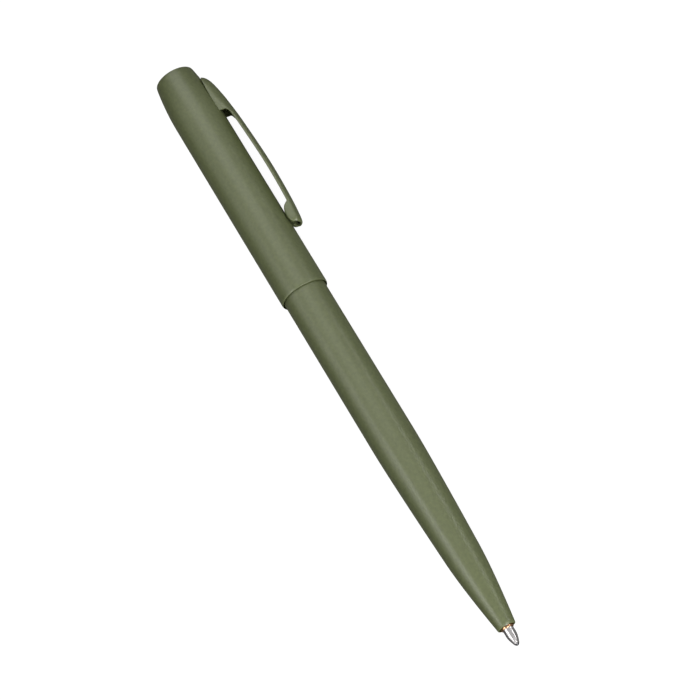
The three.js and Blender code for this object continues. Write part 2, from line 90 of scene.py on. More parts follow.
def size(name, default, description):
    """A length that a user may change."""
    return FloatProperty(
        name=name, description=description, default=default, min=0.0, unit="LENGTH", precision=5
    )


def paint(name, code, description):
    """A colour that a user may change."""
    return FloatVectorProperty(
        name=name, description=description, default=hex_colour(code), size=4, min=0, max=1, subtype="COLOR"
    )


class PenSizes(bpy.types.PropertyGroup):
    cap_length: size("Cap length", CAP_HIGH.x - CAP_LOW.x, "From the closed end of the cap to its rim")
    cap_radius: size("Cap radius", CAP_HIGH.z, "Outside radius of the cap")
    cap_end_radius: size("Cap end radius", mm(4.03), "Radius of the cap at its closed end")
    cap_taper: size("Cap taper", mm(10), "Length of the cap's taper")
    cap_wall: size("Cap wall", mm(0.4), "Thickness of the cap's wall")
    cap_end_wall: size("Cap end wall", mm(0.6), "Thickness of the cap's closed end")
    barrel_start: size("Barrel start", BARREL_LOW.x, "Where the barrel begins inside the cap")
    barrel_radius: size("Barrel radius", BARREL_HIGH.z, "Outside radius of the barrel's parallel part")
    barrel_wall: size("Barrel wall", mm(0.45), "Thickness of the barrel's wall")
    grip_start: size("Grip start", mm(87.5), "Where the barrel begins to taper")
    grip_end: size("Grip end", mm(113), "Where the taper runs into the nose")
    grip_end_radius: size("Grip end radius", mm(3.55), "Radius where the nose begins")
    nose_face: size("Nose face", BARREL_HIGH.x + mm(0.05), "Where the barrel ends")
    nose_radius: size("Nose radius", mm(1.78), "Radius of the nose at its face")
    bore_radius: size("Bore radius", mm(1.11), "Radius of the nose's bore")
    clip_start: size("Clip start", mm(2.95), "Where the clip begins on the cap")
    clip_length: size("Clip length", mm(37.65), "From the hood's head to the clip's end")
    clip_sheet: size("Clip sheet", mm(0.36), "Thickness of the clip's sheet")
    hood_length: size("Hood length", mm(9), "From the hood's head to its cut")
    hood_half_width: size("Hood half width", mm(2.25), "Half the width of the hood")
    strip_half_width: size("Strip half width", mm(2), "Half the width of the strip")
    clip_roll: FloatProperty(
        name="Clip roll",
        description="How far the clip lies below the horizontal",
        default=radians(26.4),
        subtype="ANGLE",
    )
    spring_coils: IntProperty(name="Spring coils", description="Open coils of the spring", default=9, min=3)
    wire_radius: size("Wire radius", mm(0.18), "Radius of the spring's wire")


class PenColours(bpy.types.PropertyGroup):
    coat: paint("Coat", "6C744C", "Matte coat of the cap, the clip and the barrel")
    brass: paint("Brass", "C79A55", "Turned brass")
    bore: paint("Bare bore", "EDB98F", "Bare metal at the edge of the bore")
    steel: paint("Steel", "EEEBEB", "Turned stainless steel of the point")
    ball: paint("Ball", "5A5B5E", "Ball in the point")
    white: paint("White acetal", "E6E3DA", "Moulded white pieces")
    black: paint("Black acetal", "1F1F1F", "Moulded black pieces")
    ink: paint("Ink", "0B0B12", "Ink in the cartridge")
    floor: paint("Floor", "FBFBFB", "Floor under the pen")


# Meshes


def bend(start, corner, end, steps):
    """Points along the curve that leaves start towards corner and reaches end from it."""
    shares = [k / steps for k in range(steps + 1)]
    return [
        (1 - s) ** 2 * Vector(start) + 2 * s * (1 - s) * Vector(corner) + s**2 * Vector(end) for s in shares
    ]


def rounding(centre, radius, first, last, steps=6):
    """Points on a round corner about a centre, from one angle to another in degrees."""
    turns = [radians(first + (last - first) * k / steps) for k in range(steps + 1)]
    return [Vector((centre[0] + radius * cos(t), centre[1] + radius * sin(t))) for t in turns]


def turned(outline, steps, closed=False):
    """A turned piece, from the places and radii of its outline, spun about the X axis."""
    bm = bmesh.new()
    points = [bm.verts.new((p[0], p[1], 0)) for p in outline]
    pairs = list(zip(points, points[1:])) + ([(points[-1], points[0])] if closed else [])
    edges = [bm.edges.new(pair) for pair in pairs]
    bmesh.ops.spin(
        bm,
        geom=points + edges,
        cent=(0, 0, 0),
        axis=(1, 0, 0),
        angle=2 * pi,
        steps=steps,
        use_merge=True,
    )
    bmesh.ops.remove_doubles(bm, verts=bm.verts, dist=MERGE)
    bmesh.ops.recalc_face_normals(bm, faces=bm.faces)
    return bm


def rotate(bm, angle, axis):
    """Turns the whole mesh about an axis through the origin."""
    bmesh.ops.rotate(bm, verts=bm.verts, cent=(0, 0, 0), matrix=Matrix.Rotation(angle, 3, axis))


def finished(bm, name, material, sharp=35):
    """The mesh as an object at the origin, with smooth faces and sharp edges past an angle in degrees."""
    mesh = bpy.data.meshes.new(name)
    bm.to_mesh(mesh)
    bm.free()
    mesh.shade_smooth()
    mesh.set_sharp_from_angle(angle=radians(sharp))
    piece = bpy.data.objects.new(name, mesh)
    mesh.materials.append(material)
    bpy.context.scene.collection.objects.link(piece)
    return piece


def apply_modifiers(piece):
    """Makes the piece's modifiers part of its mesh."""
    graph = bpy.context.evaluated_depsgraph_get()
    mesh = bpy.data.meshes.new_from_object(piece.evaluated_get(graph))
    piece.modifiers.clear()
    piece.data = mesh


def put(piece, body, slot, *nodes):
    """Sets a piece on its body in place of CAD nodes."""
    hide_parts(*nodes)
    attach(piece, body)


# Materials


def add(tree, kind, inputs=None, **settings):
    """Adds a shader node. inputs gives a socket its value, or the output that feeds it."""
    made = tree.nodes.new(kind)
    for name, value in settings.items():
        setattr(made, name, value)
    for name, value in (inputs or {}).items():
        if isinstance(value, bpy.types.NodeSocket):
            tree.links.new(value, made.inputs[name])
        else:
            made.inputs[name].default_value = value
    return made


def new_material(name):
    """An empty node material and its tree."""
    material = bpy.data.materials.new(name)
    material.use_nodes = True
    material.node_tree.nodes.clear()
    return material, material.node_tree


def close(tree, shader):
    """Links a shader to the material's surface."""
    add(tree, "ShaderNodeOutputMaterial", {"Surface": shader.outputs[0]})


def shade(tree, colour, amount, factor):
    """The colour, darkened and lightened by a share of itself where factor is low and high."""
    ramp = add(tree, "ShaderNodeMapRange", {"Value": factor, "To Min": 1 - amount, "To Max": 1 + amount})
    scaled = add(
        tree,
        "ShaderNodeVectorMath",
        {0: tuple(colour)[:3], "Scale": ramp.outputs[0]},
        operation="SCALE",
    )
    return scaled.outputs[0]


def coat(name, colour):
    # Fine matte powder coat over metal: a seventh of a millimetre of grain in its bump, and a mottle drawn
    # coarser than the real one, at 0.6 mm, so that it shows
    material, tree = new_material(name)
    place = add(tree, "ShaderNodeTexCoord").outputs["Object"]
    grain = add(tree, "ShaderNodeTexNoise", {"Vector": place, "Scale": 1 / mm(0.14), "Detail": 2.0})
    mottle = add(tree, "ShaderNodeTexNoise", {"Vector": place, "Scale": 1 / mm(0.6), "Detail": 3.0})
    rough = add(tree, "ShaderNodeMapRange", {"Value": mottle.outputs[0], "To Min": 0.34, "To Max": 0.45})
    bump = add(
        tree, "ShaderNodeBump", {"Height": grain.outputs[0], "Strength": 0.27, "Distance": mm(0.03)}
    )
    surface = add(
        tree,
        "ShaderNodeBsdfPrincipled",
        {
            "Base Color": shade(tree, colour, 0.3, mottle.outputs[0]),
            "Roughness": rough.outputs[0],
            "Normal": bump.outputs[0],
            "Specular IOR Level": 1.0,
        },
    )
    close(tree, surface)
    return material


def machined(name, colour, roughness, pitch, depth, cut=0.3):
    # Metal with the fine rings of a lathe tool about the pen's axis, one for each pitch: at a scale of 1
    # the wave repeats every pi / 10
    material, tree = new_material(name)
    place = add(tree, "ShaderNodeTexCoord").outputs["Object"]
    rings = add(
        tree,
        "ShaderNodeTexWave",
        {"Vector": place, "Scale": pi / 10 / pitch, "Distortion": 0.6, "Detail": 1.0, "Detail Scale": 3.0},
        bands_direction="X",
    )
    stain = add(tree, "ShaderNodeTexNoise", {"Vector": place, "Scale": 1 / mm(1.4), "Detail": 3.0})
    rough = add(
        tree,
        "ShaderNodeMapRange",
        {"Value": stain.outputs[0], "To Min": roughness * 0.8, "To Max": roughness * 1.25},
    )
    bump = add(tree, "ShaderNodeBump", {"Height": rings.outputs[0], "Strength": cut, "Distance": depth})
    surface = add(
        tree,
        "ShaderNodeBsdfPrincipled",
        {
            "Base Color": shade(tree, colour, 0.08, stain.outputs[0]),
            "Roughness": rough.outputs[0],
            "Normal": bump.outputs[0],
            "Metallic": 1.0,
        },
    )
    close(tree, surface)
    return material


def moulded(name, colour, roughness):
    # Injection-moulded plastic with a faint orange-peel skin and flow clouds
    material, tree = new_material(name)
    place = add(tree, "ShaderNodeTexCoord").outputs["Object"]
    skin = add(tree, "ShaderNodeTexNoise", {"Vector": place, "Scale": 1 / mm(0.3), "Detail": 2.0})
    flow = add(tree, "ShaderNodeTexNoise", {"Vector": place, "Scale": 1 / mm(2.5), "Detail": 2.0})
    rough = add(
        tree,
        "ShaderNodeMapRange",
        {"Value": skin.outputs[0], "To Min": roughness * 0.9, "To Max": roughness * 1.1},
    )
    bump = add(tree, "ShaderNodeBump", {"Height": skin.outputs[0], "Strength": 0.12, "Distance": mm(0.03)})
    surface = add(
        tree,
        "ShaderNodeBsdfPrincipled",
        {
            "Base Color": shade(tree, colour, 0.05, flow.outputs[0]),
            "Roughness": rough.outputs[0],
            "Normal": bump.outputs[0],
        },
    )
    close(tree, surface)
    return material


def wet_ink(name, colour):
    # Thick ink, glossy where it wets the tube, with faint streaks from filling
    material, tree = new_material(name)
    place = add(tree, "ShaderNodeTexCoord").outputs["Object"]
    streak = add(tree, "ShaderNodeTexNoise", {"Vector": place, "Scale": 1 / mm(1.5), "Detail": 2.0})
    rough = add(tree, "ShaderNodeMapRange", {"Value": streak.outputs[0], "To Min": 0.08, "To Max": 0.2})
    surface = add(
        tree,
        "ShaderNodeBsdfPrincipled",
        {"Base Color": shade(tree, colour, 0.2, streak.outputs[0]), "Roughness": rough.outputs[0]},
    )
    close(tree, surface)
    return material


# Cap


def cap_radius_at(sizes, x):
    """Outside radius of the cap at a place along it."""
    left = max(0.0, 1 - x / sizes.cap_taper)
    return sizes.cap_radius - (sizes.cap_radius - sizes.cap_end_radius) * left**2


def cut_slot(bm, start, end, half_width):
    """Opens a slot through the wall on the +Y side, between two places along the axis."""
    upper_wall, margin = mm(2), mm(2)
    planes = [((start, 0, 0), (1, 0, 0)), ((end, 0, 0), (1, 0, 0))]
    planes += [((0, 0, side * half_width), (0, 0, 1)) for side in (-1, 1)]
    for point, normal in planes:
        near = [
            f
            for f in bm.faces
            if f.calc_center_median().y > upper_wall
            and any(start - margin < v.co.x < end + margin or abs(v.co.z) < half_width for v in f.verts)
        ]
        geom = near + list({e for f in near for e in f.edges}) + list({v for f in near for v in f.verts})
        bmesh.ops.bisect_plane(bm, geom=geom, dist=ON_PLANE, plane_co=point, plane_no=normal)
    inside = [
        f
        for f in bm.faces
        if start < f.calc_center_median().x < end
        and abs(f.calc_center_median().z) < half_width
        and f.calc_center_median().y > upper_wall
    ]
    bmesh.ops.delete(bm, geom=inside, context="FACES")
    bmesh.ops.bridge_loops(bm, edges=[e for e in bm.edges if e.is_boundary])
    bmesh.ops.recalc_face_normals(bm, faces=bm.faces)


def make_cap(sizes, colours):
    """Drawn cap: closed flat end with a soft edge, slight taper, rounded rim and the slot for the clip."""
    end_round = mm(0.16)
    rim_round, rim_length = mm(0.13), mm(0.5)
    taper = [(x, cap_radius_at(sizes, x)) for x in (sizes.cap_taper * k / 20 for k in range(1, 21))]
    turns = [pi / 2 * (1 - k / 10) for k in range(11)]
    rim = [(sizes.cap_length - rim_length * (1 - cos(t)), rim_round * (1 - sin(t))) for t in turns]
    outside = [
        Vector((0, 0)),
        *rounding((end_round, sizes.cap_end_radius - end_round), end_round, 180, 104),
        *[Vector(place) for place in taper],
        *[Vector((x, sizes.cap_radius - drop)) for x, drop in rim],
    ]
    bore = sizes.cap_radius - sizes.cap_wall
    counterbore, counterbore_flat, counterbore_end = mm(0.25), mm(1.2), mm(1.3)
    inner_start = sizes.cap_end_wall + mm(0.3)
    inner = [Vector((x, r - sizes.cap_wall)) for x, r in taper if x > inner_start]
    inside = [
        Vector((sizes.cap_length, bore + counterbore)),
        Vector((sizes.cap_length - counterbore_flat, bore + counterbore)),
        Vector((sizes.cap_length - counterbore_end, bore)),
        *reversed(inner),
        Vector((sizes.cap_end_wall, cap_radius_at(sizes, sizes.cap_end_wall) - sizes.cap_wall)),
        Vector((sizes.cap_end_wall, 0)),
    ]
    bm = turned(outside + inside, BODY_STEPS)
    clearance, slot_half_width = mm(0.15), mm(1.25)
    slot_end = sizes.clip_start + sizes.clip_sheet + clearance
    cut_slot(bm, sizes.clip_start - clearance, slot_end, slot_half_width)
    rotate(bm, -sizes.clip_roll, "X")
    cap = finished(bm, "cap", coat("cap_coat", colours.coat))
    put(cap, "cap", "olive_coat", "cap_shell")


# Clip

CROWN = (
    (0, -0.55),
    (0.0105, -0.45),
    (0.0125, 0.05),
    (0.016, 0.37),
    (0.0255, 0.69),
    (0.05, 1.08),
    (0.085, 1.39),
    (0.132, 1.68),
    (0.2, 2.0),
    (0.345, 2.42),
    (0.61, 2.78),
    (0.822, 2.63),
    (0.95, 2.29),
    (1.0, 1.98),
)  # height of the clip's crown above the cap's wall in millimetres, at shares of its length


def clip_direction(sizes):
    """The direction in which the clip stands out of the cap."""
    return Vector((0, cos(sizes.clip_roll), -sin(sizes.clip_roll)))


def smooth_line(points, steps):
    """A smooth line through points, as many steps to each stretch."""
    ends = [points[0]] + points + [points[-1]]
    line = []
    for before, a, b, after in zip(ends, ends[1:], ends[2:], ends[3:]):
        leave, reach = (b - before) / 2, (after - a) / 2
        cube = 2 * a - 2 * b + leave + reach
        square = 3 * b - 3 * a - 2 * leave - reach
        line += [cube * s**3 + square * s**2 + leave * s + a for s in (k / steps for k in range(steps))]
    return line + [points[-1]]


def height_at(line, x):
    """Height of a line of points at a place."""
    for a, b in zip(line, line[1:]):
        if a.x <= x <= b.x:
            return a.y + (b.y - a.y) * (x - a.x) / max(b.x - a.x, TINY)
    return line[0].y if x < line[0].x else line[-1].y


def clamped(share):
    """The share, kept between 0 and 1."""
    return min(1.0, max(0.0, share))


def ease(x, start, end):
    """0 before start, 1 after end, and smooth between them."""
    s = clamped((x - start) / (end - start))
    return s * s * (3 - 2 * s)


def fall(share):
    """How far a round of radius 1 has fallen from its top, at a share of its radius."""
    return 1 - sqrt(1 - share**2)


class ClipForm:
    """The clip seen from its side and in section, standing out along Y.

    lobe_dip is how far the lobe's foot lies under the top of the cap's wall. lobe_rise is how far before the
    clip's end that foot begins to rise.
    """

    skirt = mm(0.95)  # from the crown down to the strip's lower edge
    lobe_length = mm(4.65)
    lobe_fold = mm(1.72)  # how far a lobe reaches under the clip
    head_half_width, head_length = mm(1.2), mm(3.5)
    head_gap, least_gap = mm(0.42), mm(0.03)  # air under the hood at its head and before its cut
    end_length, end_narrowing, end_share = mm(1.1), 0.42, 0.98
    strip_arch, least_arch = mm(0.7), mm(0.2)
    hood_arch_foot = mm(0.65)  # how far the hood's arch reaches under the top of the cap's wall

    def __init__(self, sizes, lobe_dip, lobe_rise):
        self.sizes = sizes
        self.lobe_dip = lobe_dip
        self.lobe_rise = lobe_rise
        self.start = sizes.clip_start
        self.end = sizes.clip_start + sizes.clip_length
        self.cut = self.start + sizes.hood_length
        self.lobe_start = self.end - self.lobe_length
        wall, length = sizes.cap_radius, sizes.clip_length
        crown = [Vector((self.start + share * length, wall + mm(height))) for share, height in CROWN]
        self.crown = smooth_line(crown, 12)
        self.foot = self.underline()

    def crown_at(self, x):
        """Height of the crown."""
        return height_at(self.crown, x)

    def underside_at(self, x):
        """Height of the strip's lower edge."""
        return self.crown_at(x) - self.skirt

    def gap_at(self, x):
        """Air between the cap's wall and the hood's foot, open at the head."""
        closing = self.head_gap - self.least_gap
        return self.head_gap - closing * ease(x, self.start, self.cut - mm(2))

    def past_hood(self, x):
        """0 on the hood, 1 on the strip, and smooth between them."""
        length = self.sizes.hood_length
        return ease(x, self.cut - length / 2, self.cut + length / 3)

    def underline(self):
        """The lower edge past the hood: its cut, the curve into the strip, the strip's edge and the lobe."""
        wall, end = self.sizes.cap_radius, self.end
        low = wall - self.lobe_dip
        cut_width, curve_length, steps = mm(0.3), mm(1.6), 24
        cut_end = self.cut + cut_width
        strip = cut_end + curve_length
        edge = self.underside_at(strip)
        line = [Vector((self.cut, wall - mm(0.6)))]
        line += bend((cut_end, edge - mm(0.66)), (cut_end + mm(0.15), edge), (strip, edge), 8)
        length = self.lobe_start - mm(0.12) - strip
        for x in (strip + length * k / steps for k in range(1, steps + 1)):
            line.append(Vector((x, self.underside_at(x))))
        # The lobe comes down from the strip, runs along the cap, rises to its end and ends in a small round
        line += bend(
            (self.lobe_start, self.underside_at(self.lobe_start)),
            (self.lobe_start + mm(0.35), low + mm(0.02)),
            (end - mm(2.2), low),
            14,
        )
        line += bend(
            (end - self.lobe_rise, low),
            (end - mm(0.4), low),
            (end - mm(0.22), wall + mm(0.95)),
            14,
        )
        line += bend(
            (end - mm(0.18), wall + mm(1.05)),
            (end - mm(0.08), wall + mm(1.3)),
            (end, wall + mm(1.4)),
            4,
        )
        return line

    def half_width(self, x):
        """Half the clip's width: round at the head, hood, strip, and drawn in at the end."""
        head = clamped((x - self.start) / self.head_length)
        rounded = sqrt(1 - (1 - head) ** 2)
        hood = self.head_half_width + (self.sizes.hood_half_width - self.head_half_width) * rounded
        width = hood + (self.sizes.strip_half_width - hood) * self.past_hood(x)
        last = clamped(1 - (self.end - x) / self.end_length)
        return width * (1 - self.end_narrowing * fall(self.end_share * last))

    def rise(self, x):
        """Height of the arch across the clip."""
        hood = max(self.crown_at(x) - self.sizes.cap_radius + self.hood_arch_foot, self.least_arch)
        return hood + (self.strip_arch - hood) * self.past_hood(x)

    def side(self, x, top, width):
        """The straight side under the arch, and the lobe's turn under at its foot."""
        if x <= self.cut:
            depth, steps = mm(2.6), 40
            return [Vector((top - depth * k / steps, width)) for k in range(1, steps + 1)]
        foot = height_at(self.foot, x)
        folded = ease(top - foot, mm(0.3), mm(1.3)) if x > self.lobe_start else 0.0
        lip = foot + mm(0.16) * folded
        if top < lip:
            return [Vector((foot, width))]
        steps = 16
        down = [Vector((top + (lip - top) * k / steps, width)) for k in range(1, steps + 1)]
        if folded == 0:
            return down
        inner_edge = (foot + (self.lobe_dip + mm(0.05)) * folded, width - self.lobe_fold * folded)
        return down + bend((lip, width), (foot, width), inner_edge, 10)[1:]

    def section(self, x, crown, steps):
        """Points from the crown down one side, as far as the cap's wall or the clip's lower edge."""
        width, rise = self.half_width(x), self.rise(x)
        turns = [pi / 2 * k / 24 for k in range(25)]
        arch = [Vector((crown - rise * (1 - cos(t)), width * sin(t))) for t in turns]
        wall = cap_radius_at(self.sizes, x) + self.gap_at(x)
        # Past the hood, from a little under the lower edge, so that the edge itself stays
        low = height_at(self.foot, x) - mm(0.03) if x > self.cut else None
        kept = [arch[0]]
        for point in arch[1:] + self.side(x, arch[-1][0], width):
            last = kept[-1]
            before, after = (p.x - low if low else p.length - wall for p in (last, point))
            if after < 0:
                before = max(0.0, before)
                kept.append(last + (point - last) * (before / (before - after)))
                break
            kept.append(point)
        return spread(kept, steps)

    def stations(self):
        """Places of the rows along the clip, close together at its head, its cut, its lobes and its end."""
        head, step, clear, rows = self.start, mm(0.01), mm(0.03), 26
        while self.crown_at(head) < cap_radius_at(self.sizes, head) + self.gap_at(head) + clear:
            head += step
        hood = [head + (self.cut - head) * (k / rows) ** 1.5 for k in range(rows + 1)]
        past = [p.x for p in self.foot[1:]]
        cut = [self.cut + (past[0] - self.cut) * k / 5 for k in range(1, 5)]
        return hood + cut + past


def spread(points, steps):
    """The same line with its points the same distance apart."""
    lengths = [0.0]
    for a, b in zip(points, points[1:]):
        lengths.append(lengths[-1] + (b - a).length)
    line = []
    for k in range(steps + 1):
        want = lengths[-1] * k / steps
        place = next((i for i in range(1, len(lengths)) if lengths[i] >= want - TINY), len(lengths) - 1)
        part = (want - lengths[place - 1]) / max(lengths[place] - lengths[place - 1], TINY)
        line.append(points[place - 1] + (points[place] - points[place - 1]) * part)
    return line


def make_clip(sizes, colours):
    """Pressed clip: hood, arched strip and two folded lobes, of one sheet, with its tongue in the cap."""
    # The lower lobe lies closer to the cap at its end than the upper one, as in the photograph
    upper, lower = ClipForm(sizes, mm(0.1), mm(2.1)), ClipForm(sizes, mm(0.25), mm(1.1))
    rows = upper.stations()
    tip_round, tip_share = mm(0.5), 0.95
    half = 12
    sections = []
    for x in rows:
        past_round = max(0.0, x - upper.end + tip_round) / tip_round
        drop = tip_round * fall(tip_share * past_round)
        sections.append([side.section(x, side.crown_at(x) - drop, half) for side in (upper, lower)])
    bm = bmesh.new()
    bmesh.ops.create_grid(bm, x_segments=len(rows) - 1, y_segments=2 * half, size=0.5)
    for v in bm.verts:
        row = round((v.co.x + 0.5) * (len(rows) - 1))
        column = round((v.co.y + 0.5) * 2 * half) - half
        above, below = sections[row]
        y, z = (above if column > 0 else below)[abs(column)]
        v.co = (rows[row], y, z if column > 0 else -z)
    bmesh.ops.recalc_face_normals(bm, faces=bm.faces)
    on_strip = Vector((mm(20), mm(7), 0))
    middle = min(bm.faces, key=lambda f: (f.calc_center_median() - on_strip).length)
    if middle.normal.y < 0:
        bmesh.ops.reverse_faces(bm, faces=bm.faces)
    add_tongue(bm, sizes)
    rotate(bm, -sizes.clip_roll, "X")
    clip = finished(bm, "clip", coat("clip_coat", colours.coat), sharp=80)
    sheet = clip.modifiers.new("Sheet", "SOLIDIFY")
    sheet.thickness = sizes.clip_sheet
    sheet.offset = -1
    crease = 0.6
    sheet.edge_crease_rim = sheet.edge_crease_outer = sheet.edge_crease_inner = crease
    smooth = clip.modifiers.new("Soften", "SUBSURF")
    smooth.levels = smooth.render_levels = 2
    apply_modifiers(clip)
    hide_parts("pocket_clip")
    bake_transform(clip)


def add_tongue(bm, sizes):
    """The tongue: down through the cap's slot and forward under its wall."""
    width, steps = mm(2.2), 4
    outer = sizes.cap_radius - mm(1.4)
    x = sizes.clip_start
    # Its outer face, from its toe back to the slot and up through it
    path = [
        (x + mm(4.4), outer),
        (x + mm(2.4), outer),
        (x + mm(0.7), outer),
        *bend((x + mm(0.5), outer), (x, outer), (x, outer + mm(0.5)), 4),
        (x, outer + mm(0.75)),
        (x + mm(0.03), outer + mm(1.0)),
    ]
    sheet = bmesh.new()
    bmesh.ops.create_grid(sheet, x_segments=len(path) - 1, y_segments=steps, size=0.5)
    for v in sheet.verts:
        place = path[round((v.co.x + 0.5) * (len(path) - 1))]
        v.co = (place[0], place[1], v.co.y * width)
    bmesh.ops.recalc_face_normals(sheet, faces=sheet.faces)
    if min(sheet.faces, key=lambda f: f.calc_center_median().y).normal.y > 0:
        bmesh.ops.reverse_faces(sheet, faces=sheet.faces)
    mesh = bpy.data.meshes.new("tongue")
    sheet.to_mesh(mesh)
    sheet.free()
    bm.from_mesh(mesh)
    bpy.data.meshes.remove(mesh)


# Barrel


def make_barrel(sizes, colours):
    """Tube swaged to a long nose: coated outside, bare at the edge of the bore."""
    radius, wall = sizes.barrel_radius, sizes.barrel_wall
    face = sizes.nose_face
    nose_wall = mm(0.5)
    shoulder = mm(6.5)
    slope = (radius - sizes.grip_end_radius) / (sizes.grip_end - sizes.grip_start - shoulder)
    lead = mm(5.56)
    chamfer, face_round = mm(0.15), mm(0.12)
    seat = BARREL_HIGH.x - mm(7.9)
    pocket, seat_radius = mm(2.2), mm(1.65)
    bore, bore_length = sizes.bore_radius, mm(4.4)
    lip, lip_radius = mm(0.36), mm(1.27)
    groove, groove_radius = mm(0.35), mm(1.62)
    grip = bend(
        (sizes.grip_start, radius),
        (sizes.grip_start + shoulder, radius),
        (sizes.grip_end, sizes.grip_end_radius),
        24,
    )
    nose = bend(
        (sizes.grip_end, sizes.grip_end_radius),
        (sizes.grip_end + lead, sizes.grip_end_radius - slope * lead),
        (face - face_round, sizes.nose_radius + face_round / 4),
        32,
    )
    throat = bend(
        (sizes.grip_end, sizes.grip_end_radius - nose_wall),
        (sizes.grip_end + lead / 2, sizes.grip_end_radius - nose_wall),
        (seat - mm(1.5), pocket),
        16,
    )
    hollow = bend(
        (sizes.grip_start, radius - wall),
        (sizes.grip_start + shoulder, radius - wall),
        (sizes.grip_end, sizes.grip_end_radius - nose_wall),
        16,
    )
    outline = [
        Vector((sizes.barrel_start, radius - wall)),
        Vector((sizes.barrel_start, radius - chamfer)),
        Vector((sizes.barrel_start + chamfer, radius)),
        *grip,
        *nose[1:],
        *rounding((face - face_round, sizes.nose_radius - face_round), face_round, 70, 0),
        Vector((face, groove_radius)),
        Vector((face - groove, groove_radius - mm(0.03))),
        Vector((face - groove, lip_radius)),
        *bend(
            (face, lip_radius - mm(0.02)),
            (face + lip * 0.9, lip_radius - mm(0.04)),
            (face + lip, bore + mm(0.06)),
            8,
        ),
        Vector((face + lip - mm(0.05), bore)),
        Vector((face - bore_length, bore)),
        Vector((seat, seat_radius)),
        Vector((seat, pocket)),
        *reversed(throat),
        *reversed(hollow[:-1]),
    ]
    bm = turned(outline, BODY_STEPS, closed=True)
    # The bore, its lip and the groove's inner wall are bare
    bare_radius = lip_radius + mm(0.005)
    for f in bm.faces:
        middle = f.calc_center_median()
        if middle.x > seat and hypot(middle.y, middle.z) < bare_radius:
            f.material_index = 1
    barrel = finished(bm, "barrel_tube", coat("barrel_coat", colours.coat))
    barrel.data.materials.append(machined("bare_bore", colours.bore, 0.2, mm(0.05), mm(0.001), 0.03))
    put(barrel, "barrel", "olive_coat", "barrel")


# Point


def make_point(colours):
    """Stainless point: shank, short parallel part, long curved cone and the lip spun over the ball."""
    centre = (BALL_LOW.x + BALL_HIGH.x) / 2
    ball_radius = (BALL_HIGH.x - BALL_LOW.x) / 2
    radius = POINT_HIGH.z
    socket = ball_radius + mm(0.03)
    lip_reach, lip_round = mm(0.1), mm(0.03)
    lip = centre + lip_reach
    lip_radius = sqrt(socket**2 - lip_reach**2)
    cone_start = BALL_HIGH.x - mm(2.1)
    shank_end, shank_radius, chamfer = POINT_LOW.x + mm(6), mm(0.85), mm(0.06)
    cone = bend(
        (cone_start, radius),
        ((cone_start + lip) / 2, (radius + lip_radius) / 2 + mm(0.12)),
        (lip - mm(0.05), lip_radius + mm(0.06)),
        18,
    )
    inkway = mm(0.35)
    narrow = inkway / 2
    first = asin(lip_reach / socket)
    turn = pi / 2 + first - asin(narrow / socket)
    angles = [first - turn * k / 10 for k in range(11)]
    hollow = [Vector((centre + socket * sin(t), socket * cos(t))) for t in angles]
    feed = hollow[-1].x - mm(1)
    outline = [
        Vector((POINT_LOW.x, inkway)),
        Vector((POINT_LOW.x, shank_radius)),
        Vector((shank_end, shank_radius)),
        Vector((shank_end, radius - chamfer)),
        Vector((shank_end + chamfer, radius)),
        *cone,
        *rounding((lip - lip_round, lip_radius + lip_round), lip_round, 60, 0, 3),
        *hollow,
        Vector((feed, narrow)),
        Vector((feed - mm(0.5), inkway)),
    ]
    bm = turned(outline, POINT_STEPS, closed=True)
    point = finished(bm, "point", machined("point_steel", colours.steel, 0.24, mm(0.05), mm(0.001), 0.03))
    put(point, "refill", "steel", "refill_point")
    bm = bmesh.new()
    bmesh.ops.create_icosphere(bm, subdivisions=4, radius=ball_radius)
    bmesh.ops.translate(bm, verts=bm.verts, vec=(centre, 0, 0))
    ball = finished(bm, "ball_finished", machined("ball_carbide", colours.ball, 0.12, mm(0.3), mm(0.001)))
    put(ball, "ball", "ball", "writing_ball")


# Spring


def make_spring(sizes, colours):
    """Coil spring with a closed coil at each end, wound about the cartridge's neck."""
    wire = sizes.wire_radius
    coil = SPRING_HIGH.z - wire
    start = SPRING_LOW.x + wire
    length = SPRING_HIGH.x - wire - start
    steps = 32
    closed_pitch = 2.04 * wire
    open_pitch = (length - 2 * closed_pitch) / sizes.spring_coils
    bm = bmesh.new()
    bmesh.ops.create_circle(bm, radius=wire, segments=12)
    rotate(bm, pi / 2, "Y")
    rotate(bm, pi / 2, "Z")
    bmesh.ops.translate(bm, verts=bm.verts, vec=(start, 0, coil))
    ring = bm.verts[:] + bm.edges[:]
    for coils, pitch in ((1, closed_pitch), (sizes.spring_coils, open_pitch), (1, closed_pitch)):
        made = bmesh.ops.spin(
            bm,
            geom=ring,
            cent=(0, 0, 0),
            axis=(1, 0, 0),
            dvec=(pitch / steps, 0, 0),
            angle=2 * pi * coils,
            steps=steps * coils,
        )
        ring = made["geom_last"]
    bmesh.ops.remove_doubles(bm, verts=bm.verts, dist=MERGE)
    bmesh.ops.holes_fill(bm, edges=[e for e in bm.edges if e.is_boundary])
    bmesh.ops.recalc_face_normals(bm, faces=bm.faces)
    wire_steel = machined("spring_wire", colours.steel, 0.3, mm(0.06), mm(0.002))
    spring = finished(bm, "spring", wire_steel, sharp=50)
    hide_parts("refill_spring")
    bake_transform(spring)


# Pieces that keep their CAD shape


